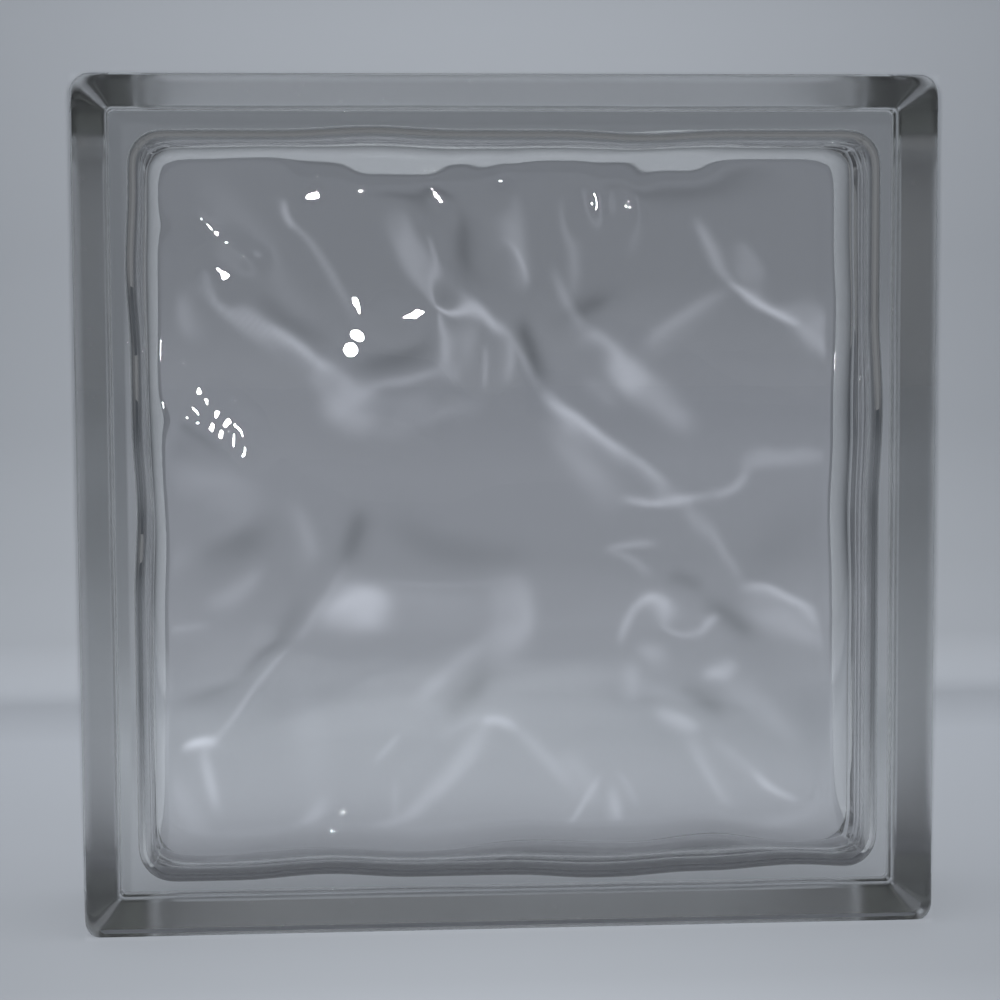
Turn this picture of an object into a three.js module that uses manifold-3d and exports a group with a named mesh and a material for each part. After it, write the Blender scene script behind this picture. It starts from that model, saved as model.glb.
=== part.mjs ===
// A hollow clear glass block for walls. Two tray-shaped half shells are pressed from molten glass
// and fused mouth to mouth, which seals the air cavity between them. The outer faces are flat, and
// the waves are pressed into the faces' inner sides.
//
// Millimetres. +Z is up, the block stands on its lower side, and its front face looks along -Y.
// The origin is at the middle of the lower side. The two shells meet on the plane y = 0.

import * as THREE from "three";
import { mergeVertices } from "three/addons/utils/BufferGeometryUtils.js";
import Module from "manifold-3d";

const wasm = await Module();
wasm.setup();

// ---- Driving dimensions ----

const FACE_WIDTH = 190; // along X
const FACE_HEIGHT = 190; // along Z
const BLOCK_DEPTH = 50; // front face to back face, along Y

const PLAN_CORNER_RADIUS = 4.5; // of the outline, seen from the front
const FACE_EDGE_RADIUS = 2.5; // between a face and its lip
const LIP_LENGTH = 9; // of the full-size lip, from the face along the depth
const FLANK_LENGTH = 10; // of the slope from the lip down into the mortar recess
const RECESS_DEPTH = 6.5; // of the mortar recess, below the lip
const RECESS_CORNER_RADIUS = 1.2; // of the recess's floor, seen from the front

const WELD_BEAD_HEIGHT = 0.8; // of the seam's bead, above the recess's floor
const WELD_BEAD_WIDTH = 4; // of the whole bead, half of it on each shell

const FACE_THICKNESS = 7; // of the glass in a face, between the waves
const WALL_THICKNESS = 4.3; // of the side wall at the seam, without the bead
const WALL_DRAFT = 0.6; // gained by the wall between the seam and the fillet
const CAVITY_FILLET = 4.5; // between the side wall and a face's inner side
const CAVITY_CORNER_RADIUS = 7; // of the cavity, seen from the front

const WAVE_HEIGHT = 0.5; // that a crest's share is taken of, above the glass between the waves
const WAVE_REACH = 20; // from a crest's line to the foot of its slope, at a spread of 1

// ---- Fineness of the facets ----

const ARC_STEPS = 4; // on each rounded edge of the section
const PLAN_CORNER_STEPS = 5; // on each outer corner, seen from the front
const WAVE_CELLS = 36; // across a face's inner side

// Each crest is a bent line: its start, the point that it bends towards, and its end. They are given
// across the face's inner side, from -1 at its left or lower edge to 1 at its right or upper edge, as
// seen from the front. Share is the crest's part of the wave height, negative in a trough, and spread
// its part of the reach.
const FRONT_CRESTS = [
  { line: [[-0.32, 0.8], [-0.22, 0.6], [-0.08, 0.55]], share: 0.14, spread: 0.3 },
  { line: [[-0.15, 0.57], [0.11, 0.24], [0.27, 0.31]], share: 0.16, spread: 1.8 },
  { line: [[0.12, 0.24], [0.45, 0.05], [0.45, 0]], share: 0.46, spread: 1.67 },
  { line: [[0.53, 0.02], [0.51, -0.29], [0.92, -0.33]], share: 0.16, spread: 0.63 },
  { line: [[0.19, 0.21], [0.27, -0.08], [0.41, -0.11]], share: 0.16, spread: 1.03 },
  { line: [[0.66, 0.11], [0.67, 0.17], [0.84, 0.15]], share: 0.3, spread: 1.21 },
  { line: [[0.66, 0.69], [0.71, 0.54], [1.01, 0.49]], share: 0.51, spread: 1.44 },
  { line: [[-0.02, 0.68], [0.28, 0.36], [0.44, 0.31]], share: 0.41, spread: 1.8 },
  { line: [[-0.8, 0.74], [-0.67, 0.85], [-0.45, 0.53]], share: 0.23, spread: 0.94 },
  { line: [[-0.77, 0.57], [-0.66, 0.42], [-0.22, 0.17]], share: 0.6, spread: 1.8 },
  { line: [[-0.48, 0.25], [-0.14, 0.24], [-0.14, 0.48]], share: 0.71, spread: 1.8 },
  { line: [[-0.88, 0.53], [-0.81, 0.18], [-0.79, -0.24]], share: 0.36, spread: 1.8 },
  { line: [[-0.64, -0.07], [-0.57, -0.2], [-0.43, -0.27]], share: 0.2, spread: 0.76 },
  { line: [[-0.42, -0.26], [-0.45, -0.4], [-0.87, -0.7]], share: 0.19, spread: 0.83 },
  { line: [[0.21, -0.52], [-0.2, -0.64], [-0.27, -0.91]], share: 0.11, spread: 0.45 },
  { line: [[0.08, -0.67], [0.11, -0.58], [0.22, -0.84]], share: 0.33, spread: 0.91 },
  { line: [[0.42, -0.44], [0.47, -0.42], [0.33, -0.51]], share: 0.47, spread: 1.8 },
  { line: [[0.45, -0.61], [0.63, -0.79], [0.84, -0.95]], share: 0.16, spread: 0.49 },
  { line: [[0.25, -0.75], [0.3, -0.87], [0.18, -0.94]], share: -0.19, spread: 0.61 },
  { line: [[0.26, -0.76], [0.32, -0.75], [0.27, -1]], share: 0.56, spread: 1.39 },
];
const BACK_CRESTS = [
  { line: [[-0.04, 0.82], [-0.13, 0.19], [-0.11, -0.47]], share: 0.17, spread: 0.77 },
  { line: [[0.03, 0.85], [-0.06, 0.14], [0.05, -0.41]], share: 0.14, spread: 0.5 },
  { line: [[-0.61, 0.1], [-0.12, -0.09], [0.45, 0]], share: 0.2, spread: 1.4 },
  { line: [[-0.48, -0.35], [-0.03, -0.37], [0.22, -0.31]], share: 0.2, spread: 0.81 },
  { line: [[-0.97, 0.03], [-1.1, -0.09], [-0.77, 0.01]], share: 0.69, spread: 1.8 },
  { line: [[0.22, 0.78], [0.41, 0.62], [0.35, 0.49]], share: 0.5, spread: 1.8 },
  { line: [[0.53, 0.87], [0.52, 0.71], [0.41, 0.61]], share: -0.72, spread: 1.8 },
  { line: [[0.42, 0.38], [0.54, 0.49], [0.9, 0.68]], share: 0.44, spread: 1.8 },
  { line: [[-0.02, -0.33], [0.08, -0.64], [-0.04, -0.79]], share: 0.36, spread: 1.05 },
  { line: [[0.47, -0.37], [0.49, -0.27], [0.77, -0.63]], share: 0.45, spread: 1.54 },
  { line: [[-0.7, -0.45], [-0.79, -0.53], [-0.8, -0.55]], share: -0.95, spread: 1.29 },
  { line: [[-0.62, -0.92], [-0.69, -0.68], [-0.36, -0.55]], share: 0.55, spread: 1.71 },
  { line: [[0.73, -0.16], [0.86, -0.45], [0.94, -0.69]], share: 0.16, spread: 0.81 },
  { line: [[0.63, 0.44], [0.89, 0.47], [1.02, 0.48]], share: 0.36, spread: 1.8 },
];
const CREST_STEPS = 12; // along each crest's line

// ---- Places worked out from the dimensions ----

const MID_HEIGHT = FACE_HEIGHT / 2;
const FACE_Y = BLOCK_DEPTH / 2; // the outer face's distance from the seam
const LIP_END_Y = FACE_Y - LIP_LENGTH;
const RECESS_START_Y = LIP_END_Y - FLANK_LENGTH;
const BEAD_FOOT_Y = WELD_BEAD_WIDTH / 2;
const BEAD_CREST_Y = WELD_BEAD_WIDTH / 4;
const BEAD_INSET = RECESS_DEPTH - WELD_BEAD_HEIGHT;

const CAVITY_ROOF_Y = FACE_Y - FACE_THICKNESS;
const SEAM_WALL_INSET = RECESS_DEPTH + WALL_THICKNESS;
const FILLET_WALL_INSET = SEAM_WALL_INSET + WALL_DRAFT;
const ROOF_INSET = FILLET_WALL_INSET + CAVITY_FILLET; // of the edge of the waves
const PAST_SEAM = 1; // how far the cavity's core runs past the seam, so that it cuts clean through

// ---- Rounded rectangles ----

// Moves a point of the plain rectangle's edge onto the rounded rectangle of the same size.
function rounded(x, z, halfWidth, halfHeight, radius) {
  const corner = new THREE.Vector2(halfWidth - radius, halfHeight - radius);
  const beyond = new THREE.Vector2(Math.abs(x) - corner.x, Math.abs(z) - corner.y);
  if (radius <= 0 || beyond.x <= 0 || beyond.y <= 0) return [x, z];
  beyond.setLength(radius).add(corner);
  return [Math.sign(x) * beyond.x, Math.sign(z) * beyond.y];
}

// Three.js's own outline of a rounded rectangle, inset from the face's edge, as points.
function outline(inset, radius) {
  const w = FACE_WIDTH / 2 - inset;
  const h = FACE_HEIGHT / 2 - inset;
  const shape = new THREE.Shape();
  shape.absarc(w - radius, radius - h, radius, -Math.PI / 2, 0);
  shape.absarc(w - radius, h - radius, radius, 0, Math.PI / 2);
  shape.absarc(radius - w, h - radius, radius, Math.PI / 2, Math.PI);
  shape.absarc(radius - w, radius - h, radius, Math.PI, (3 * Math.PI) / 2);
  return shape.getPoints(PLAN_CORNER_STEPS).map((p) => [p.x, p.y]);
}

// ---- Solids ----

function solidOf(positions, index) {
  const geometry = new THREE.BufferGeometry();
  geometry.setAttribute("position", new THREE.Float32BufferAttribute(positions, 3));
  geometry.setIndex(index);
  const merged = mergeVertices(geometry, 1e-4);
  return new wasm.Manifold(
    new wasm.Mesh({
      numProp: 3,
      vertProperties: merged.getAttribute("position").array,
      triVerts: new Uint32Array(merged.getIndex().array),
    }),
  );
}

// Quads between neighbouring rings of equal length.
function skin(index, rings, start, count) {
  for (let ring = 0; ring + 1 < rings; ring += 1) {
    for (let i = 0; i < count; i += 1) {
      const a = start + ring * count + i;
      const b = start + ring * count + ((i + 1) % count);
      index.push(a, b, b + count, a, b + count, a + count);
    }
  }
}

// The section of the outer skin, from the seam to the face: inset, distance from the seam, radius
// of the corner in plan.
function outerSection() {
  const section = [
    [BEAD_INSET, 0, RECESS_CORNER_RADIUS],
    [BEAD_INSET, BEAD_CREST_Y, RECESS_CORNER_RADIUS],
    [RECESS_DEPTH, BEAD_FOOT_Y, RECESS_CORNER_RADIUS],
    [RECESS_DEPTH, RECESS_START_Y, RECESS_CORNER_RADIUS],
    [0, LIP_END_Y, PLAN_CORNER_RADIUS],
  ];
  for (let step = 0; step <= ARC_STEPS; step += 1) {
    const turn = ((Math.PI / 2) * step) / ARC_STEPS;
    const inset = FACE_EDGE_RADIUS * (1 - Math.cos(turn));
    const y = FACE_Y - FACE_EDGE_RADIUS * (1 - Math.sin(turn));
    section.push([inset, y, PLAN_CORNER_RADIUS - inset]);
  }
  return section;
}

// Half a block without its cavity, with its face towards +Y and its seam on y = 0.
function outerHalf() {
  const rings = outerSection().map(([inset, y, radius]) =>
    outline(inset, radius).map(([x, z]) => [x, y, z]),
  );
  const count = rings[0].length;
  const positions = rings.flat(2);
  const index = [];
  skin(index, rings.length, 0, count);

  const last = (rings.length - 1) * count;
  for (const [ring, start, faceOut] of [[rings[0], 0, false], [rings.at(-1), last, true]]) {
    const flat = ring.map(([x, , z]) => new THREE.Vector2(x, z));
    for (const [a, b, c] of THREE.ShapeUtils.triangulateShape(flat, [])) {
      index.push(...(faceOut ? [start + a, start + b, start + c] : [start + c, start + b, start + a]));
    }
  }
  return solidOf(positions, index.reverse());
}

// ---- Waves ----

// How far the crests stand out at a point of the face's inner side. Each is steepest at its line and
// runs out flat at its foot.
function waveField(crests) {
  const halfWidth = FACE_WIDTH / 2 - ROOF_INSET;
  const halfHeight = FACE_HEIGHT / 2 - ROOF_INSET;
  const lines = crests.map(({ line, share, spread }) => {
    const [start, bend, end] = line.map(([u, v]) => new THREE.Vector3(u * halfWidth, 0, v * halfHeight));
    const points = new THREE.QuadraticBezierCurve3(start, bend, end).getPoints(CREST_STEPS);
    const pieces = points.slice(1).map((point, i) => new THREE.Line3(points[i], point));
    return { pieces, height: share * WAVE_HEIGHT, reach: spread * WAVE_REACH };
  });
  const nearest = new THREE.Vector3();
  return (x, z) => {
    const place = new THREE.Vector3(x, 0, z);
    let total = 0;
    for (const { pieces, height, reach } of lines) {
      const away = Math.min(
        ...pieces.map((piece) => piece.closestPointToPoint(place, true, nearest).distanceTo(place)),
      );
      total += height * Math.max(0, 1 - away / reach) ** 2;
    }
    return total;
  };
}

// The core that leaves the cavity of one shell: straight drafted walls, a fillet, and a roof with the
// waves in it. The roof is a grid whose outermost cells follow the cavity's rounded corners.
function cavityCore(crests) {
  const wave = waveField(crests);
  const half = WAVE_CELLS / 2;
  const positions = [];
  const index = [];

  const place = (i, j, inset, radius) => {
    const w = FACE_WIDTH / 2 - inset;
    const h = FACE_HEIGHT / 2 - inset;
    const level = Math.max(Math.abs(i), Math.abs(j)) / half;
    return rounded((i / half) * w, (j / half) * h, w * level, h * level, radius * level);
  };

  const vertex = (i, j) => (j + half) * (WAVE_CELLS + 1) + i + half;
  for (let j = -half; j <= half; j += 1) {
    for (let i = -half; i <= half; i += 1) {
      const [x, z] = place(i, j, ROOF_INSET, CAVITY_CORNER_RADIUS);
      positions.push(x, CAVITY_ROOF_Y - wave(x, z), z);
    }
  }
  for (let j = -half; j < half; j += 1) {
    for (let i = -half; i < half; i += 1) {
      const [a, b] = [vertex(i, j), vertex(i + 1, j)];
      const [c, d] = [vertex(i + 1, j + 1), vertex(i, j + 1)];
      index.push(a, c, b, a, d, c);
    }
  }

  // The grid's edge, once round, and the fillet and the wall that run on from it to the seam.
  const edge = [];
  for (let k = -half; k < half; k += 1) edge.push([k, -half]);
  for (let k = -half; k < half; k += 1) edge.push([half, k]);
  for (let k = half; k > -half; k -= 1) edge.push([k, half]);
  for (let k = half; k > -half; k -= 1) edge.push([-half, k]);

  const section = [];
  for (let step = 1; step <= ARC_STEPS; step += 1) {
    const turn = ((Math.PI / 2) * step) / ARC_STEPS;
    const inset = ROOF_INSET - CAVITY_FILLET * Math.sin(turn);
    section.push([inset, CAVITY_ROOF_Y - CAVITY_FILLET * (1 - Math.cos(turn)), Math.cos(turn)]);
  }
  section.push([SEAM_WALL_INSET, -PAST_SEAM, 0]);

  const start = positions.length / 3;
  for (const [inset, y, waveShare] of section) {
    for (const [i, j] of edge) {
      const [x, z] = place(i, j, inset, CAVITY_CORNER_RADIUS);
      positions.push(x, y - waveShare * wave(x, z), z);
    }
  }
  const count = edge.length;
  edge.forEach(([i, j], k) => {
    const [nextI, nextJ] = edge[(k + 1) % count];
    const [a, b] = [vertex(i, j), vertex(nextI, nextJ)];
    const [c, d] = [start + ((k + 1) % count), start + k];
    index.push(a, b, c, a, c, d);
  });
  skin(index, section.length, start, count);

  const mouth = start + (section.length - 1) * count;
  const centre = positions.length / 3;
  positions.push(0, -PAST_SEAM, 0);
  for (let k = 0; k < count; k += 1) index.push(mouth + k, mouth + ((k + 1) % count), centre);
  return solidOf(positions, index);
}

// ---- The two shells ----

function shell(name, crests, facesFront) {
  const { vertProperties, triVerts } = outerHalf().subtract(cavityCore(crests)).getMesh();
  const geometry = new THREE.BufferGeometry();
  geometry.setAttribute("position", new THREE.BufferAttribute(vertProperties, 3));
  geometry.setIndex(new THREE.BufferAttribute(triVerts, 1));
  const glass = new THREE.MeshStandardMaterial({
    name: "clear_glass",
    color: 0xd9e2e0,
    roughness: 0.03,
    metalness: 0,
    transparent: true,
    opacity: 0.35,
  });
  const mesh = new THREE.Mesh(geometry, glass);
  mesh.name = name;
  mesh.position.z = MID_HEIGHT;
  if (facesFront) mesh.rotation.z = Math.PI;
  return mesh;
}

// The front shell is turned half round to face the front, so its crests are laid out mirrored.
const seenFromBehind = (crest) => ({ ...crest, line: crest.line.map(([u, v]) => [-u, v]) });

const block = new THREE.Group();
block.name = "glass_block";
block.add(shell("front_shell", FRONT_CRESTS.map(seenFromBehind), true));
block.add(shell("back_shell", BACK_CRESTS, false));

export default block;
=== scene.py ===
import math

import bmesh
import bpy
import numpy as np
from mathutils import Matrix, Vector


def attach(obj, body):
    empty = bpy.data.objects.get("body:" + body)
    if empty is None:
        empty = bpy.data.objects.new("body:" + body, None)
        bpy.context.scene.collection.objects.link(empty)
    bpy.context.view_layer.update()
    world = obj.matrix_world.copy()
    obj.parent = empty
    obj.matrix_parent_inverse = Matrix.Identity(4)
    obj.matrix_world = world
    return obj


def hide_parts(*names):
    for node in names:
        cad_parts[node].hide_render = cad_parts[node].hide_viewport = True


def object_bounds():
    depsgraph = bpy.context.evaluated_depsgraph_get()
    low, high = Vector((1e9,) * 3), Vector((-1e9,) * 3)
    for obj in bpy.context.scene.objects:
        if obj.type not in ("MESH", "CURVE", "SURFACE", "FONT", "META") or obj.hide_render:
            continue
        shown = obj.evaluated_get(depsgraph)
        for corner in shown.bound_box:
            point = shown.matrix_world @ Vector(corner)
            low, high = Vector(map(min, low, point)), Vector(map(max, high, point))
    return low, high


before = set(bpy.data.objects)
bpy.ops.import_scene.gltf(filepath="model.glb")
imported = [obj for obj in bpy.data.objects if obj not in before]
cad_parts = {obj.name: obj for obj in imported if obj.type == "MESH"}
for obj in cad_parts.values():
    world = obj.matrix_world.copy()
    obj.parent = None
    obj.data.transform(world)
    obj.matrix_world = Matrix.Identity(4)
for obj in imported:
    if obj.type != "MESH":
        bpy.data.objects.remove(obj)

cad_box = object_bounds()

# ---- Glass block, outer skin ----
# Clear pressed glass. Two shells come out of the mould and are melted together at mid-depth, where
# the seam stands up as a low bead in the mortar recess. The outer edges are fire-polished round.
MM = 0.001
NEAR = 0.01 * MM
block_low, block_high = (Vector(corner) for corner in cad_box)
block_size = block_high - block_low
half_width = block_size.x / 2
mid_height = block_size.z / 2
face_y = block_size.y / 2

lip_length = 9 * MM
flank_length = 10 * MM
recess_depth = 6.5 * MM
bead_height = 0.8 * MM
bead_width = 4 * MM
bead_edge_share = 0.35  # of the rounding at the face's edge
plan_corner_radius = 4.5 * MM
recess_corner_radius = 1.2 * MM
face_edge_radius = 2.5 * MM
flank_edge_radius = 1.5 * MM
lip_end = -face_y + lip_length
recess_start = lip_end + flank_length


def select_vertices(test):
    bpy.ops.mesh.select_mode(type="VERT")
    bpy.ops.mesh.select_all(action="DESELECT")
    mesh = bmesh.from_edit_mesh(bpy.context.object.data)
    for vertex in mesh.verts:
        vertex.select_set(test(vertex.co))
    mesh.select_flush_mode()
    bmesh.update_edit_mesh(bpy.context.object.data)


def extrude_outline(ring, next_ring):
    y, inset, radius = ring
    next_y, next_inset, next_radius = next_ring
    select_vertices(lambda place: abs(place.y - y) < NEAR)
    bpy.ops.mesh.extrude_region_move(TRANSFORM_OT_translate={"value": (0, next_y - y, 0)})
    scale = next_radius / radius
    centre = half_width - inset - radius
    shift = half_width - next_inset - next_radius - centre
    for side_x in (1, -1):
        for side_z in (1, -1):
            select_vertices(
                lambda place: abs(place.y - next_y) < NEAR
                and place.x * side_x > 0
                and (place.z - mid_height) * side_z > 0
            )
            bpy.ops.transform.resize(
                value=(scale, 1, scale),
                center_override=(side_x * centre, 0, mid_height + side_z * centre),
            )
            bpy.ops.transform.translate(value=(side_x * shift, 0, side_z * shift))


bpy.ops.object.select_all(action="DESELECT")
bpy.ops.mesh.primitive_plane_add(
    size=2 * half_width, location=(0, -face_y, mid_height), rotation=(math.pi / 2, 0, 0)
)
glass_block = bpy.context.object
glass_block.name = "glass_block"
bpy.ops.object.transform_apply(location=True, rotation=True, scale=True)
rings = [
    (-face_y, 0, plan_corner_radius),
    (lip_end, 0, plan_corner_radius),
    (recess_start, recess_depth, recess_corner_radius),
    (-bead_width / 2, recess_depth, recess_corner_radius),
    (0, recess_depth - bead_height, recess_corner_radius),
]
bpy.ops.object.mode_set(mode="EDIT")
bpy.ops.mesh.select_all(action="SELECT")
bpy.ops.mesh.bevel(offset=plan_corner_radius, segments=10, affect="VERTICES")
bpy.ops.mesh.select_all(action="SELECT")
bpy.ops.mesh.delete(type="ONLY_FACE")
for ring, next_ring in zip(rings, rings[1:]):
    extrude_outline(ring, next_ring)
select_vertices(lambda place: abs(place.y + face_y) < NEAR)
bpy.ops.mesh.edge_face_add()
bpy.ops.object.mode_set(mode="OBJECT")

halves = glass_block.modifiers.new("back half", "MIRROR")
halves.use_axis = (False, True, False)
bpy.ops.object.modifier_apply(modifier=halves.name)
bpy.ops.object.mode_set(mode="EDIT")
bpy.ops.mesh.select_all(action="SELECT")
bpy.ops.mesh.normals_make_consistent(inside=False)
bpy.ops.object.mode_set(mode="OBJECT")

weights = glass_block.data.attributes.new("bevel_weight_edge", "FLOAT", "EDGE")
for edge in glass_block.data.edges:
    start, end = (glass_block.data.vertices[i].co for i in edge.vertices)
    if abs(start.y - end.y) < NEAR:
        y = abs(start.y)
        if abs(y - face_y) < NEAR:
            weights.data[edge.index].value = 1
        elif abs(y + lip_end) < NEAR or abs(y + recess_start) < NEAR:
            weights.data[edge.index].value = flank_edge_radius / face_edge_radius
        elif y < bead_width:
            weights.data[edge.index].value = bead_edge_share
rounding = glass_block.modifiers.new("rounded edges", "BEVEL")
rounding.limit_method = "WEIGHT"
rounding.width = face_edge_radius
rounding.segments = 6
rounding.use_clamp_overlap = False
bpy.ops.object.modifier_apply(modifier=rounding.name)
bpy.ops.object.shade_smooth_by_angle(angle=math.radians(40))
flat_faces = glass_block.modifiers.new("flat faces stay flat", "WEIGHTED_NORMAL")
flat_faces.keep_sharp = True
flat_faces.weight = 100
bpy.ops.object.modifier_apply(modifier=flat_faces.name)

# ---- Glass block, cavity ----
# The inside of both trays, as the plunger left it: soft waves over the two faces, a fillet round
# them and slightly drafted side walls. The air in it is sealed in when the trays are joined.
face_thickness = 7 * MM
wall_inset = 11.4 * MM
fillet_radius = 4.5 * MM
window_corner_radius = 7 * MM
wall_draft = math.tan(math.radians(2.5))
roof_y = face_y - face_thickness
roof_size = 2 * (half_width - wall_inset - fillet_radius)
cage_cells = 44  # the waves are shaped on a coarse grid, which is smoothed afterwards
cage_pitch = roof_size / cage_cells
grip = 0.6 * cage_pitch  # from a crest or a push to the grid's corners that it takes hold of
push_reach = 18 * MM
fillet_turns = [math.radians(22.5 * step) for step in range(5)]

# each crest: three points of a curve, from -1 to 1 over the face, its height and its reach in mm
front_crests = [
    (((-0.32, 0.80), (-0.22, 0.60), (-0.08, 0.55)), 0.07, 6),
    (((-0.15, 0.57), (0.11, 0.24), (0.27, 0.31)), 0.08, 36),
    (((0.12, 0.24), (0.45, 0.05), (0.45, 0.00)), 0.23, 33),
    (((0.53, 0.02), (0.51, -0.29), (0.92, -0.33)), 0.08, 13),
    (((0.19, 0.21), (0.27, -0.08), (0.41, -0.11)), 0.08, 21),
    (((0.66, 0.11), (0.67, 0.17), (0.84, 0.15)), 0.15, 24),
    (((0.66, 0.69), (0.71, 0.54), (1.01, 0.49)), 0.26, 29),
    (((-0.02, 0.68), (0.28, 0.36), (0.44, 0.31)), 0.20, 36),
    (((-0.80, 0.74), (-0.67, 0.85), (-0.45, 0.53)), 0.11, 19),
    (((-0.68, 0.97), (-0.52, 0.66), (-0.40, 0.39)), -0.03, 17),
    (((-0.77, 0.57), (-0.66, 0.42), (-0.22, 0.17)), 0.30, 36),
    (((-0.48, 0.25), (-0.14, 0.24), (-0.14, 0.48)), 0.35, 36),
    (((-0.88, 0.53), (-0.81, 0.18), (-0.79, -0.24)), 0.18, 36),
    (((-0.64, -0.07), (-0.57, -0.20), (-0.43, -0.27)), 0.10, 15),
    (((-0.42, -0.26), (-0.45, -0.40), (-0.87, -0.70)), 0.10, 17),
    (((0.21, -0.52), (-0.20, -0.64), (-0.27, -0.91)), 0.06, 9),
    (((0.08, -0.67), (0.11, -0.58), (0.22, -0.84)), 0.17, 18),
    (((0.42, -0.44), (0.47, -0.42), (0.33, -0.51)), 0.23, 36),
    (((0.45, -0.61), (0.63, -0.79), (0.84, -0.95)), 0.08, 10),
    (((0.25, -0.75), (0.30, -0.87), (0.18, -0.94)), -0.10, 12),
    (((0.26, -0.76), (0.32, -0.75), (0.27, -1.00)), 0.28, 28),
]
back_crests = [
    (((-0.04, 0.82), (-0.13, 0.19), (-0.11, -0.47)), 0.09, 15),
    (((0.03, 0.85), (-0.06, 0.14), (0.05, -0.41)), 0.07, 10),
    (((-0.61, 0.10), (-0.12, -0.09), (0.45, -0.00)), 0.10, 28),
    (((-0.48, -0.35), (-0.03, -0.37), (0.22, -0.31)), 0.10, 16),
    (((-0.97, 0.03), (-1.10, -0.09), (-0.77, 0.01)), 0.35, 36),
    (((0.22, 0.78), (0.41, 0.62), (0.35, 0.49)), 0.25, 36),
    (((0.53, 0.87), (0.52, 0.71), (0.41, 0.61)), -0.36, 36),
    (((0.42, 0.38), (0.54, 0.49), (0.90, 0.68)), 0.22, 36),
    (((-0.02, -0.33), (0.08, -0.64), (-0.04, -0.79)), 0.18, 21),
    (((0.47, -0.37), (0.49, -0.27), (0.77, -0.63)), 0.22, 31),
    (((-0.70, -0.45), (-0.79, -0.53), (-0.80, -0.55)), -0.48, 26),
    (((-0.62, -0.92), (-0.69, -0.68), (-0.36, -0.55)), 0.27, 34),
    (((0.73, -0.16), (0.86, -0.45), (0.94, -0.69)), 0.08, 16),
    (((0.63, 0.44), (0.89, 0.47), (1.02, 0.48)), 0.18, 36),
    (((-0.60, 1.00), (-0.30, 1.00), (-0.05, 1.00)), 0.80, 9),
    (((-0.42, 1.00), (-0.32, 1.00), (-0.22, 1.00)), 0.60, 9),
    (((-0.05, 1.00), (0.20, 1.00), (0.62, 1.00)), 0.60, 7),
    (((0.45, 1.00), (0.52, 1.00), (0.60, 1.00)), 0.60, 8),
]
# pushes of the roof's edge, so that the window's outline undulates: place and push in mm
front_pushes = [
    ((-40, -79), (0, 1)), ((20, -79), (0, -1)), ((60, -79), (0, 1)), ((-79, 50), (-0.8, 0)),
    ((-79, 0), (0.8, 0)), ((79, 20), (0.8, 0)), ((-30, 79), (0, 0.8)), ((30, 79), (0, -0.8)),
]
back_pushes = [
    ((-66, -79), (0, -1.6)), ((-20, -79), (0, -1.2)), ((8, -79), (0, 1)), ((48, -79), (0, 1.8)),
    ((68, -79), (0, -0.8)), ((-79, 30), (-0.8, 0)), ((-79, -10), (0.8, 0)), ((79, 40), (0.6, 0)),
    ((79, -5), (-0.6, 0)), ((-50, 79), (0, 0.8)), ((-10, 79), (0, -0.8)), ((40, 79), (0, 0.8)),
]


def curve_points(line, steps):
    start, bend, end = (Vector(point) for point in line)
    for step in range(steps + 1):
        t = step / steps
        yield (1 - t) ** 2 * start + 2 * t * (1 - t) * bend + t**2 * end


def raise_crests(crests, inward):
    for line, height, reach in crests:
        points = [point * roof_size / 2 for point in curve_points(line, 40)]
        select_vertices(
            lambda place: min(
                (Vector((place.x, place.z - mid_height)) - point).length for point in points
            ) < grip
        )
        bpy.ops.transform.translate(
            value=(0, inward * height * MM, 0),
            use_proportional_edit=True,
            proportional_edit_falloff="SHARP",
            proportional_size=reach * MM,
        )


def round_corners():
    corner = roof_size / 2
    radius = window_corner_radius
    for along_x, along_z, turn in ((0, 0, 45), (1, 0, 20), (0, 1, 70)):
        start = Vector((corner - along_x * cage_pitch, corner - along_z * cage_pitch))
        turn = math.radians(turn)
        end = Vector((corner, corner)) - radius * Vector((1 - math.sin(turn), 1 - math.cos(turn)))
        for side_x in (1, -1):
            for side_z in (1, -1):
                select_vertices(
                    lambda place: (
                        Vector((place.x * side_x, (place.z - mid_height) * side_z)) - start
                    ).length < NEAR
                )
                shift = end - start
                bpy.ops.transform.translate(value=(side_x * shift.x, 0, side_z * shift.y))


def push_edge(pushes):
    for (x, z), (along_x, along_z) in pushes:
        select_vertices(
            lambda place: abs(place.x - x * MM) < grip
            and abs(place.z - mid_height - z * MM) < grip
        )
        bpy.ops.transform.translate(
            value=(along_x * MM, 0, along_z * MM),
            use_proportional_edit=True,
            proportional_edit_falloff="SMOOTH",
            proportional_size=push_reach,
        )


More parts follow.
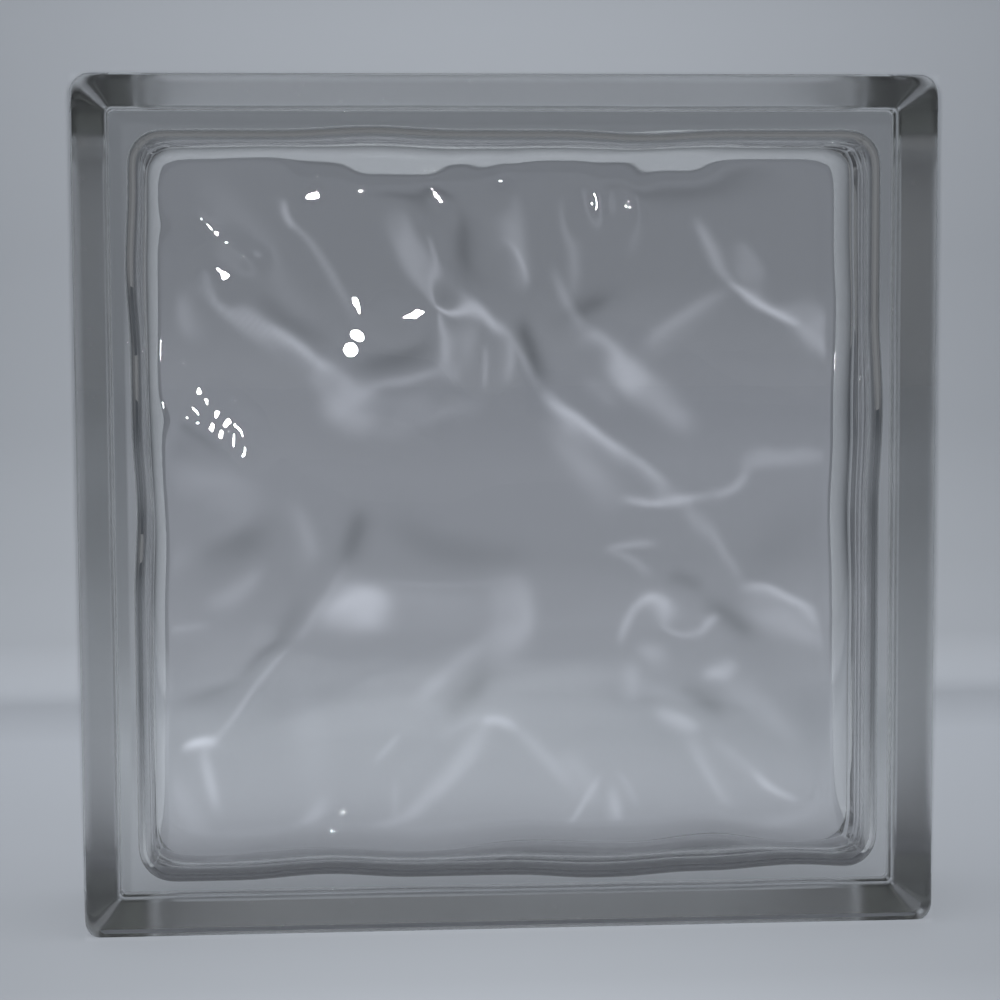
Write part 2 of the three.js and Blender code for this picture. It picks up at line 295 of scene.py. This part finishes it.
def press_roof(name, side, crests, pushes):
    bpy.ops.object.select_all(action="DESELECT")
    bpy.ops.mesh.primitive_grid_add(
        x_subdivisions=cage_cells,
        y_subdivisions=cage_cells,
        size=roof_size,
        location=(0, side * roof_y, mid_height),
        rotation=(math.pi / 2, 0, 0),
    )
    roof = bpy.context.object
    roof.name = name
    bpy.ops.object.transform_apply(location=True, rotation=True, scale=True)
    bpy.ops.object.mode_set(mode="EDIT")
    round_corners()
    raise_crests(crests, -side)
    push_edge(pushes)
    bpy.ops.mesh.select_all(action="SELECT")
    bpy.ops.mesh.region_to_loop()
    arc = [
        (fillet_radius * math.sin(turn), fillet_radius * (1 - math.cos(turn)))
        for turn in fillet_turns
    ]
    steps = [(end[0] - start[0], end[1] - start[1]) for start, end in zip(arc, arc[1:])]
    straight = (roof_y - fillet_radius) / 2
    steps.append((straight * wall_draft, straight))
    reached = roof_size / 2
    for outward, inward in steps:
        bpy.ops.mesh.extrude_region_move(TRANSFORM_OT_translate={"value": (0, -side * inward, 0)})
        scale = (reached + outward) / reached
        bpy.ops.transform.resize(value=(scale, 1, scale), center_override=(0, 0, mid_height))
        reached += outward
    bpy.ops.object.mode_set(mode="OBJECT")
    return roof


front_roof = press_roof("front_roof", -1, front_crests, front_pushes)
back_roof = press_roof("back_roof", 1, back_crests, back_pushes)
bpy.ops.object.select_all(action="DESELECT")
front_roof.select_set(True)
back_roof.select_set(True)
bpy.context.view_layer.objects.active = front_roof
bpy.ops.object.join()
cavity = bpy.context.object
bpy.ops.object.mode_set(mode="EDIT")
bpy.ops.mesh.select_mode(type="EDGE")
bpy.ops.mesh.select_all(action="DESELECT")
bpy.ops.mesh.select_non_manifold()
bpy.ops.mesh.bridge_edge_loops(number_cuts=1)
bpy.ops.mesh.select_all(action="SELECT")
bpy.ops.mesh.normals_make_consistent(inside=True)
bpy.ops.object.mode_set(mode="OBJECT")
smooth = cavity.modifiers.new("smooth", "SUBSURF")
smooth.levels = smooth.render_levels = 2
bpy.ops.object.modifier_apply(modifier=smooth.name)

# faint tilts of the front tray's inner side, where it catches the lamp: the middle in mm from the
# face's middle, the slope across and up, and the reach in mm
tilts = [
    ((-44.5, 68.9), (0.0367, -0.0360), 4),
    ((-42.9, 68.9), (-0.0239, 0.0164), 4),
    ((-41.2, 68.7), (0.0310, -0.0377), 4),
    ((-16.7, 70.2), (-0.0284, -0.0572), 3.5),
    ((-15.6, 68.6), (0.0248, 0.0182), 3.5),
    ((-14.7, 66.9), (-0.0330, -0.0512), 3.5),
    ((-2.0, 71.9), (-0.0453, -0.0434), 5),
    ((19.4, 68.2), (-0.0634, -0.0854), 4),
    ((19.4, 66.6), (-0.0111, 0.0761), 4),
    ((19.4, 65.1), (-0.0734, -0.1059), 4),
    ((26.3, 68.2), (-0.0378, -0.0513), 4),
    ((25.7, 66.4), (-0.1080, -0.0176), 4),
    ((-69.7, 62.7), (0.1446, 0.0560), 3.5),
    ((-64.2, 53.1), (0.0636, -0.0394), 3.5),
    ((-62.9, 52.2), (-0.0316, 0.0051), 3.5),
    ((-61.7, 50.9), (0.0692, -0.0317), 3.5),
    ((-67.3, 63.9), (0.1351, -0.1214), 3),
    ((-65.6, 62.2), (0.2008, -0.1600), 3),
    ((-63.9, 60.5), (0.2178, -0.2085), 3),
    ((-62.0, 58.7), (0.2089, -0.1968), 3),
    ((-60.1, 57.2), (0.2175, -0.1331), 3),
    ((-58.3, 55.7), (0.0876, -0.1119), 3),
    ((-57.0, 54.6), (0.1334, -0.0563), 3),
    ((-68.8, 26.1), (0.0450, -0.0131), 3),
    ((-66.4, 24.1), (0.0516, -0.0164), 3),
    ((-64.0, 21.9), (0.0423, -0.0076), 3),
    ((-61.7, 19.9), (0.0444, 0.0229), 3),
    ((-59.3, 17.6), (0.0675, 0.0314), 3),
    ((-71.3, 20.4), (0.0869, -0.0210), 3.5),
    ((-68.7, 19.0), (0.1013, -0.0308), 3.5),
    ((-66.1, 17.9), (0.1117, -0.0322), 3.5),
    ((-63.5, 16.8), (0.1323, -0.0166), 3.5),
    ((-60.9, 15.2), (0.0773, -0.0192), 3.5),
    ((-58.3, 13.5), (0.0540, -0.0143), 3.5),
    ((-23.1, 42.2), (-0.0582, -0.0110), 4),
    ((-20.9, 42.7), (-0.0004, -0.0039), 4),
    ((-18.7, 43.3), (-0.0682, -0.0107), 4),
]
mesh = cavity.data
spots = np.empty(len(mesh.vertices) * 3)
mesh.vertices.foreach_get("co", spots)
spots = spots.reshape(-1, 3)
on_front = spots[:, 1] < -roof_y + fillet_radius
for (x, z), (slope_across, slope_up), reach in tilts:
    across, up = spots[:, 0] - x * MM, spots[:, 2] - mid_height - z * MM
    fade = on_front * np.exp(-(across**2 + up**2) / (reach * MM) ** 2)
    spots[:, 1] += (slope_across * across + slope_up * up) * fade
mesh.vertices.foreach_set("co", spots.ravel())
mesh.update()
bpy.ops.object.shade_smooth()

bpy.ops.object.select_all(action="DESELECT")
cavity.select_set(True)
glass_block.select_set(True)
bpy.context.view_layer.objects.active = glass_block
bpy.ops.object.join()

# clear glass with a faint green-grey depth colour: the sides that take the mortar are left satin
# by the mould and carry painted shade, a darker colour for the recess, and the faces and lips are
# fire-polished
satin_roughness = 0.25
painted_recess_shade = 0.4
polish_margin = 0.6 * MM
clear_glass = bpy.data.materials.new("clear_glass")
clear_glass.use_nodes = True
nodes, links = clear_glass.node_tree.nodes, clear_glass.node_tree.links
shader = nodes["Principled BSDF"]
shader.inputs["IOR"].default_value = 1.52
shader.inputs["Transmission Weight"].default_value = 1


def node(kind, operation=None, second=None):
    made = nodes.new(kind)
    if operation:
        made.operation = operation
    if second is not None:
        made.inputs[1].default_value = second
    return made


place = node("ShaderNodeTexCoord")
from_middle = node("ShaderNodeVectorMath", "SUBTRACT", (0, 0, mid_height))
distance = node("ShaderNodeVectorMath", "ABSOLUTE")
parts = node("ShaderNodeSeparateXYZ")
outermost = node("ShaderNodeMath", "MAXIMUM")
in_side = node("ShaderNodeMath", "GREATER_THAN", half_width - recess_depth - polish_margin)
off_lip = node("ShaderNodeMath", "LESS_THAN", -lip_end - polish_margin)
# the mortar sides: rough satin, and a painted shade that darkens their colour by a set share
satin_and_shade_mask = node("ShaderNodeMath", "MULTIPLY")
satin = node("ShaderNodeMath", "MULTIPLY", satin_roughness)
recess_shade = node("ShaderNodeMath", "MULTIPLY_ADD", -painted_recess_shade)
recess_shade.inputs[2].default_value = 1
links.new(place.outputs["Object"], from_middle.inputs[0])
links.new(from_middle.outputs[0], distance.inputs[0])
links.new(distance.outputs[0], parts.inputs[0])
links.new(parts.outputs["X"], outermost.inputs[0])
links.new(parts.outputs["Z"], outermost.inputs[1])
links.new(outermost.outputs[0], in_side.inputs[0])
links.new(parts.outputs["Y"], off_lip.inputs[0])
links.new(in_side.outputs[0], satin_and_shade_mask.inputs[0])
links.new(off_lip.outputs[0], satin_and_shade_mask.inputs[1])
links.new(satin_and_shade_mask.outputs[0], satin.inputs[0])
links.new(satin.outputs[0], shader.inputs["Roughness"])
links.new(satin_and_shade_mask.outputs[0], recess_shade.inputs[0])
links.new(recess_shade.outputs[0], shader.inputs["Base Color"])
depth_colour = nodes.new("ShaderNodeVolumeAbsorption")
depth_colour.inputs["Color"].default_value = (0.8, 0.82, 0.77, 1)
depth_colour.inputs["Density"].default_value = 10
links.new(depth_colour.outputs["Volume"], nodes["Material Output"].inputs["Volume"])
glass_block.data.materials.clear()
glass_block.data.materials.append(clear_glass)
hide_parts("front_shell", "back_shell")
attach(glass_block, "root")

# ---- Floor and backdrop ----
# A pale paper that lies on the floor and sweeps up behind the block. One ramp over depth plus
# height, in metres, paints light and shade into its colour: lighter on the floor behind the block,
# darker in front and high on the wall.
ramp_start = -0.1
paper_tint = (0.94, 1, 1.09)
# painted light and shade: each stop is a depth plus height in metres and the grey that stands in
# for the light there
painted_light_and_shade = [
    (-0.06, 0.36),
    (0.067, 0.52),
    (0.22, 0.66),
    (0.32, 0.57),
    (0.365, 0.4),
    (0.42, 0.34),
    (0.49, 0.31),
    (0.565, 0.31),
    (0.655, 0.36),
]


def paper(name, one_sided):
    finish = bpy.data.materials.new(name)
    finish.use_nodes = True
    nodes, links = finish.node_tree.nodes, finish.node_tree.links
    surface = nodes["Principled BSDF"]
    surface.inputs["Roughness"].default_value = 1
    surface.inputs["Specular IOR Level"].default_value = 0
    place = nodes.new("ShaderNodeTexCoord")
    along = nodes.new("ShaderNodeVectorMath")
    along.operation = "DOT_PRODUCT"
    along.inputs[1].default_value = (0, 1, 1)
    start = nodes.new("ShaderNodeMath")
    start.inputs[1].default_value = -ramp_start
    ramp = nodes.new("ShaderNodeValToRGB")
    links.new(place.outputs["Object"], along.inputs[0])
    links.new(along.outputs["Value"], start.inputs[0])
    links.new(start.outputs[0], ramp.inputs["Fac"])
    stops = ramp.color_ramp.elements
    while len(stops) < len(painted_light_and_shade):
        stops.new(0.5)
    for stop, (distance, painted_level) in zip(stops, painted_light_and_shade):
        stop.position = distance - ramp_start
        stop.color = (*(painted_level * tint for tint in paper_tint), 1)
    links.new(ramp.outputs["Color"], surface.inputs["Base Color"])
    if one_sided:
        geometry = nodes.new("ShaderNodeNewGeometry")
        open_back = nodes.new("ShaderNodeBsdfTransparent")
        mix = nodes.new("ShaderNodeMixShader")
        links.new(geometry.outputs["Backfacing"], mix.inputs[0])
        links.new(surface.outputs[0], mix.inputs[1])
        links.new(open_back.outputs[0], mix.inputs[2])
        links.new(mix.outputs[0], nodes["Material Output"].inputs["Surface"])
    return finish


bpy.ops.object.select_all(action="DESELECT")
bpy.ops.mesh.primitive_circle_add(vertices=96, radius=6, fill_type="NGON", location=(0, 0, 0))
floor = bpy.context.object
floor.name = "floor"
floor.data.materials.append(paper("floor_paper", one_sided=False))

paper_lift = 0.4 * MM  # of the sheet off the floor
sheet_width = 1.6
sheet_start = 0.1
sweep_start = 0.295
sweep_radius = 0.1
sweep_turns = [math.radians(90 * step / 16) for step in range(17)]
sheet_rise = 0.9  # above the sweep
bpy.ops.mesh.primitive_plane_add(size=1, location=(0, (sheet_start + sweep_start) / 2, paper_lift))
backdrop = bpy.context.object
backdrop.name = "backdrop"
backdrop.scale = (sheet_width, sweep_start - sheet_start, 1)
bpy.ops.object.transform_apply(location=True, rotation=True, scale=True)
bpy.ops.object.mode_set(mode="EDIT")
select_vertices(lambda place: place.y > sweep_start - NEAR)
for turn, next_turn in zip(sweep_turns, sweep_turns[1:]):
    bpy.ops.mesh.extrude_region_move(
        TRANSFORM_OT_translate={
            "value": (
                0,
                sweep_radius * (math.sin(next_turn) - math.sin(turn)),
                sweep_radius * (math.cos(turn) - math.cos(next_turn)),
            )
        }
    )
bpy.ops.mesh.extrude_region_move(TRANSFORM_OT_translate={"value": (0, 0, sheet_rise)})
bpy.ops.mesh.select_all(action="SELECT")
bpy.ops.mesh.normals_make_consistent(inside=False)
bpy.ops.object.mode_set(mode="OBJECT")
if backdrop.data.polygons[0].normal.z < 0:
    bpy.ops.object.mode_set(mode="EDIT")
    bpy.ops.mesh.flip_normals()
    bpy.ops.object.mode_set(mode="OBJECT")
bpy.ops.object.shade_smooth()
backdrop.data.materials.append(paper("backdrop_paper", one_sided=True))

# ---- Painted light through the block ----
# Painted light: the lamp's light that the block lets through, as an emissive sheet on the paper.
# Each point of a grid over the face is laid where the lamp's straight ray through it lands, and
# glows there with the listed streaks.
lamp_place = np.array([-0.0333, -0.4808 - face_y, 0.1316])
grid_cells = 320
window_half = half_width - wall_inset - 0.5 * MM
edge_fade = 4 * MM  # of the light, inside the block's outline
glow_lift = 4 * MM  # off the backdrop, towards the lamp
floor_clearance = 0.3 * MM
streak_gain = 0.36
streak_steps = 24
# painted light: the share of the lamp's light that the sheet shows as getting through, over the
# height in mm from the face's middle
through_window = [
    (-71, 0.15),
    (-61, 0.12),
    (-50, 0.04),
    (-38, 0.12),
    (-25, 0.19),
    (-11, 0.17),
    (10, 0.21),
    (32, 0.18),
    (48, 0.13),
    (73, 0.12),
]
# painted light behind the rim, as a share of the lamp's light
through_rim = 0.1

# painted streaks of light and, with a minus, painted hollows of shade: three points of a curve in
# mm from the face's middle, the half width in mm and the strength
streaks = [
    (((-66, 72), (-57, 57), (-44, 39)), 3.1, 0.1),
    (((-67.4, 49.3), (-54.2, 38.4), (-39.6, 28.1)), 1.3, 0.45),
    (((-54.2, 39.5), (-46.0, 34.7), (-39.6, 27.5)), 1.1, 0.35),
    (((-52.1, 66.5), (-43.6, 56.8), (-33.0, 38.3)), 1.1, 0.28),
    (((-50.4, 64.3), (-49.6, 62.2), (-47.9, 60.0)), 1.1, 0.35),
    (((-38, 23), (-35, 22), (-31, 22)), 2.8, 0.5),
    (((-42.2, 29.7), (-40.0, 28.1), (-36.4, 24.2)), 1.8, 0.35),
    (((-32.0, 23.7), (-22.2, 25.8), (-11.7, 29.3)), 1.3, 0.3),
    (((-31, 19), (-18, 21), (-7, 24)), 2.0, 0.14),
    (((-24, 64), (-22, 53), (-12, 45)), 2.0, 0.38),
    (((-13.8, 45.8), (-7.2, 43.6), (-3.1, 37.5)), 1.1, 0.75),
    (((-16.9, 58.8), (-16.3, 51.3), (-12.9, 45.4)), 0.7, 0.3),
    (((-10.7, 43.2), (-10.3, 36.0), (-13.4, 28.4)), 1.5, 0.42),
    (((-7.3, 36.0), (-6.4, 31.6), (-6.9, 26.6)), 0.7, 0.28),
    (((-3.5, 38.2), (-1.4, 32.7), (-2.5, 28.3)), 1.1, 0.3),
    (((-3.5, 39.3), (0.8, 31.6), (8.5, 24.3)), 0.9, 0.25),
    (((7.4, 25.2), (14.0, 19.4), (24.4, 12.3)), 1.1, 0.8),
    (((19.5, 15.0), (28.3, 9.4), (34.6, 2.7)), 1.1, 0.45),
    (((10, 21), (16, 12), (23, 3)), 3.1, 0.24),
    (((-1, 64), (-1, 57), (-0, 48)), 2.0, 0.3),
    (((-2.3, 57.7), (0.3, 52.3), (1.1, 47.9)), 0.7, 0.3),
    (((12.1, 65.7), (12.8, 56.6), (12.1, 44.6)), 1.5, 0.2),
    (((24.0, 70.7), (24.4, 64.2), (24.9, 54.0)), 1.5, 0.12),
    (((7.5, 52.3), (10.7, 40.9), (15.6, 36.5)), 1.3, 0.3),
    (((15.1, 35.9), (20.0, 35.2), (23.5, 30.8)), 1.5, 0.4),
    (((22, 31), (24, 29), (27, 27)), 2.2, 0.55),
    (((25, 29), (32, 24), (38, 18)), 2.8, 0.34),
    (((28.4, 32.5), (35.4, 36.9), (50.5, 47.3)), 1.5, 0.28),
    (((42.9, 61.3), (45.2, 53.9), (51.8, 47.5)), 1.3, 0.38),
    (((50.1, 48.6), (56.7, 43.8), (64.3, 41.5)), 0.9, 0.95),
    (((62, 42), (68, 39), (71, 37)), 2.2, 0.45),
    (((51.4, 54.7), (52.7, 51.0), (54.9, 47.3)), 1.3, 0.2),
    (((23.5, 4.4), (31.7, 1.4), (41.0, 2.2)), 0.9, 0.6),
    (((39.5, 2.2), (49.5, 3.7), (51.0, 10.3)), 1.1, 0.36),
    (((50.1, 10.3), (53.3, 12.5), (73.0, 11.2)), 1.3, 0.3),
    (((35.0, 3.4), (42.8, -5.1), (50.2, -19.0)), 1.3, 0.24),
    (((49.5, -18.1), (57.8, -20.0), (68.2, -26.0)), 1.1, 0.62),
    (((51, -21), (59, -27), (72, -30)), 2.8, 0.3),
    (((21.2, -8.4), (27.2, -6.3), (32.3, -7.5)), 0.9, 0.32),
    (((21.7, -8.7), (28.3, -10.1), (30.6, -15.0)), 1.1, 0.22),
    (((24.3, -30.5), (26.5, -22.3), (31.4, -20.1)), 1.1, 0.4),
    (((30.1, -20.6), (32.8, -20.6), (34.6, -24.6)), 1.8, 0.6),
    (((32.8, -25.1), (36.4, -28.9), (41.3, -28.3)), 0.7, 0.3),
    (((40.4, -28.7), (41.7, -25.6), (44.4, -24.3)), 1.1, 0.4),
    (((29, -31), (32, -32), (33, -33)), 2.0, 0.28),
    (((42.2, -35.9), (45.1, -35.1), (48.0, -36.5)), 1.5, 0.5),
    (((47, -38), (55, -43), (62, -51)), 2.2, 0.18),
    (((31.9, -44.7), (36.4, -46.6), (40.0, -49.4)), 1.5, 0.42),
    (((38.2, -50.2), (42.9, -57.8), (48.5, -66.9)), 1.3, 0.24),
    (((27, -35), (26, -38), (26, -41)), 2.0, 0.22),
    (((52.6, -58.6), (56.4, -63.7), (63.0, -65.6)), 0.9, 0.42),
    (((41.7, -49.8), (50.3, -56.3), (58.0, -63.7)), 1.5, 0.15),
    (((-5.6, -47.7), (-2.4, -46.0), (1.1, -47.4)), 1.1, 0.5),
    (((-3.3, -46.9), (-12.9, -56.8), (-24.1, -68.4)), 1.5, 0.3),
    (((-0.2, -47.4), (7.8, -52.0), (15.3, -62.9)), 1.5, 0.22),
    (((18.9, -58.9), (15.3, -64.7), (11.7, -73.6)), 0.7, 0.34),
    (((21.1, -61.9), (22.0, -66.4), (22.0, -70.9)), 1.3, 0.38),
    (((22.0, -58.5), (24.3, -61.2), (26.5, -65.4)), 0.7, 0.2),
    (((-2, -18), (3, -22), (-3, -32)), 3.3, 0.34),
    (((-38, -21), (-34, -21), (-30, -22)), 3.3, 0.8),
    (((-31, -20), (-23, -21), (-3, -21)), 3.5, 0.12),
    (((-29.2, -17.1), (-22.6, -17.0), (1.7, -17.1)), 0.7, 0.14),
    (((-80, -11), (-67, -8), (-55, 3)), 3.1, 0.14),
    (((-67, -18), (-61, -15), (-55, -10)), 2.0, 0.24),
    (((-79.4, -24.0), (-72.9, -23.6), (-66.8, -21.9)), 0.9, 0.18),
    (((-66.3, -52.0), (-55.3, -44.2), (-44.2, -28.4)), 0.7, 0.36),
    (((-44.2, -28.4), (-41.0, -21.8), (-36.8, -13.1)), 1.3, 0.18),
    (((-72.0, -51.9), (-68.5, -51.1), (-64.2, -51.4)), 0.9, 0.95),
    (((-67.4, -52.0), (-66.6, -57.4), (-64.8, -65.0)), 1.3, 0.42),
    (((-49, 2), (-46, -4), (-45, -11)), 2.2, 0.2),
    (((-25.5, -48.3), (-27.7, -51.4), (-31.3, -54.9)), 0.9, 0.26),
    (((-22.3, -41.2), (-18.8, -38.6), (-15.2, -36.8)), 1.8, 0.18),
    (((-20.5, -39.9), (-11.2, -32.2), (-1.7, -25.0)), 1.8, 0.18),
    (((-45, -39), (-44, -48), (-45, -60)), 3.3, 0.1),
    (((-46.8, -68.9), (-44.0, -66.7), (-42.4, -63.2)), 1.8, 0.3),
    (((-26.4, -59.0), (-26.0, -63.2), (-26.5, -67.7)), 0.9, 0.16),
    (((-31.4, -70.1), (-25.2, -68.9), (-19.9, -64.9)), 1.5, 0.22),
    (((-69.2, 46.1), (-68.6, 43.5), (-67.6, 38.5)), 1.8, 0.22),
    (((-72, 8), (-65, 5), (-57, 5)), 3.1, 0.18),
    (((-77, -57), (-71, -64), (-69, -71)), 3.1, 0.16),
    (((17, 27), (20, 26), (22, 24)), 2.2, 0.14),
    (((10.4, -52.7), (17.1, -59.5), (18.4, -65.2)), 1.3, 0.15),
    (((28.3, -38.4), (32.8, -40.7), (41.7, -42.0)), 1.3, 0.1),
    (((-16.2, -50.0), (-9.5, -46.7), (-2.9, -46.0)), 1.3, 0.14),
    (((55, -75), (64, -69), (71, -66)), 3.1, 0.1),
    (((0, 41), (3, 35), (7, 27)), 2.2, -0.34),
    (((-35, 29), (-24, 30), (-15, 35)), 3.1, -0.24),
    (((-69, -7), (-61, -6), (-54, -2)), 3.5, -0.24),
    (((-33, 2), (-35, -4), (-37, -11)), 2.8, -0.26),
    (((-59, -39), (-50, -29), (-44, -17)), 3.7, -0.2),
    (((-15, -44), (-8, -41), (-5, -35)), 3.3, -0.3),
    (((11, 41), (15, 42), (20, 45)), 2.8, -0.22),
    (((-9, 62), (-8, 56), (-8, 48)), 2.4, -0.2),
    (((37, -39), (42, -41), (46, -45)), 2.6, -0.24),
    (((42, -21), (47, -24), (52, -28)), 2.6, -0.26),
    (((35, -15), (38, -16), (41, -18)), 2.2, -0.18),
    (((-73, -42), (-68, -42), (-60, -39)), 2.8, -0.14),
    (((20, 74), (37, 70), (57, 73)), 5.3, -0.14),
    (((-27, 1), (-16, -10), (2, -11)), 4.4, -0.12),
    (((-62, 11), (-68, 16), (-72, 12)), 3.5, -0.16),
    (((-57, 46), (-48, 39), (-40, 34)), 2.2, -0.14),
    (((-28, 74), (-15, 70), (-11, 67)), 3.5, -0.16),
    (((57, -39), (42, -12), (73, 1)), 6.6, -0.08),
]

bpy.ops.object.select_all(action="DESELECT")
bpy.ops.mesh.primitive_grid_add(x_subdivisions=grid_cells, y_subdivisions=grid_cells, size=1)
light_patch = bpy.context.object
light_patch.name = "light_patch"
mesh = light_patch.data
spots = np.empty(len(mesh.vertices) * 3)
mesh.vertices.foreach_get("co", spots)
spots = spots.reshape(-1, 3)
across, up = 2 * half_width * spots[:, 0], 2 * half_width * spots[:, 1]

share = np.interp(up, *zip(*[(height * MM, level) for height, level in through_window]))
for line, half_wide, strength in streaks:
    nearest = np.zeros(len(share))
    for step, point in enumerate(curve_points(line, streak_steps)):
        fade = 1 - abs(2 * step / streak_steps - 1) ** 3
        away = (across / MM - point.x) ** 2 + (up / MM - point.y) ** 2
        nearest = np.maximum(nearest, fade * np.exp(-away / half_wide**2))
    share += streak_gain * strength * nearest
share = np.maximum(share, 0)
outermost = np.maximum(abs(across), abs(up))
share = np.where(outermost < window_half, share, through_rim)
share *= np.clip((half_width - outermost) / edge_fade, 0, 1)

ray = np.stack([across, np.full_like(across, -face_y), up + mid_height], -1) - lamp_place
to_floor = -lamp_place[2] / np.minimum(ray[:, 2], -1e-6)
to_wall = (sweep_start + sweep_radius - lamp_place[1]) / ray[:, 1]
from_centre = lamp_place[1:] - np.array([sweep_start, sweep_radius])
squared = (ray[:, 1:] ** 2).sum(-1)
along = (ray[:, 1:] * from_centre).sum(-1)
outside = (from_centre**2).sum() - sweep_radius**2
to_sweep = (np.sqrt(np.maximum(along * along - squared * outside, 0)) - along) / squared
lands_on_floor = lamp_place[1] + to_floor * ray[:, 1] < sweep_start
lands_on_wall = lamp_place[2] + to_wall * ray[:, 2] > sweep_radius
flight = np.where(lands_on_floor, to_floor, np.where(lands_on_wall, to_wall, to_sweep))
landed = lamp_place + flight[:, None] * ray
landed -= ray / np.linalg.norm(ray, axis=-1, keepdims=True) * glow_lift
landed[:, 2] = np.maximum(landed[:, 2], paper_lift + floor_clearance)
mesh.vertices.foreach_set("co", landed.ravel())
amount = mesh.attributes.new("light", "FLOAT", "POINT")
amount.data.foreach_set("value", share)
mesh.update()

glow = paper("light_patch", one_sided=True)
glow.cycles.emission_sampling = "NONE"
nodes, links = glow.node_tree.nodes, glow.node_tree.links
light_share = nodes.new("ShaderNodeAttribute")
light_share.attribute_name = "light"
surface = nodes["Principled BSDF"]
# painted light: the sheet glows in this pale blue, by the share in its light attribute, though it
# is no lamp
surface.inputs["Emission Color"].default_value = (0.84, 0.88, 1, 1)
links.new(light_share.outputs["Fac"], surface.inputs["Emission Strength"])
light_patch.data.materials.append(glow)
light_patch.visible_shadow = False
light_patch.visible_diffuse = False

# ---- Lamps ----
# A small flash beside the camera and a wide soft lamp overhead, in a pale grey room. The flash's
# bright spot, which the glass mirrors, is a lamp of its own beside it.
middle_of_block = (0, 0, 0.1)
room = bpy.data.worlds.new("room")
bpy.context.scene.world = room
room.use_nodes = True
room.node_tree.nodes["Background"].inputs["Color"].default_value = (0.36, 0.375, 0.4, 1)
room.node_tree.nodes["Background"].inputs["Strength"].default_value = 0.5


def lamp(name, place, target, size, power):
    bpy.ops.object.light_add(type="AREA", location=place)
    made = bpy.context.object
    made.name = name
    made.data.shape = "DISK"
    made.data.size = size
    made.data.energy = power
    made.rotation_euler = (Vector(target) - Vector(place)).to_track_quat("-Z", "Y").to_euler()
    return made


flash = lamp("flash", (-0.0333, lamp_place[1], 0.133), middle_of_block, size=0.005, power=1.5)
spark = lamp("spark", (-0.0368, lamp_place[1], 0.1286), middle_of_block, size=0.006, power=0.04)
sky = lamp("sky", (0, -0.1, 1.3), (0, 0.1, 0), size=1.4, power=6)
flash.data.spread = math.radians(80)
for made in (flash, sky):
    made.visible_glossy = False
    made.visible_transmission = False
spark.visible_diffuse = False

# ---- Camera ----
# Half a metre in front of the block, a little left of its middle and above it, under the flash.
# A ray crosses four skins of glass before it meets the paper, and more in the rim.
most_bounces = 8
bpy.ops.object.camera_add(location=lamp_place)
camera = bpy.context.object
camera.name = "camera"
camera.data.sensor_width = 36
camera.data.lens = 79.1
camera.data.clip_start = 0.01
camera.rotation_euler = (
    Matrix.Rotation(math.radians(-3.65), 3, "Z")
    @ Matrix.Rotation(math.radians(-4.11), 3, "X")
    @ Matrix.Rotation(math.radians(0.31), 3, "Y")
    @ Matrix.Rotation(math.radians(90), 3, "X")
).to_euler()
scene = bpy.context.scene
scene.camera = camera
scene.view_settings.view_transform = "Standard"
scene.cycles.use_light_tree = False
scene.cycles.max_bounces = most_bounces
scene.cycles.transmission_bounces = most_bounces
scene.cycles.glossy_bounces = most_bounces
scene.cycles.diffuse_bounces = 1
scene.cycles.sample_clamp_indirect = 0
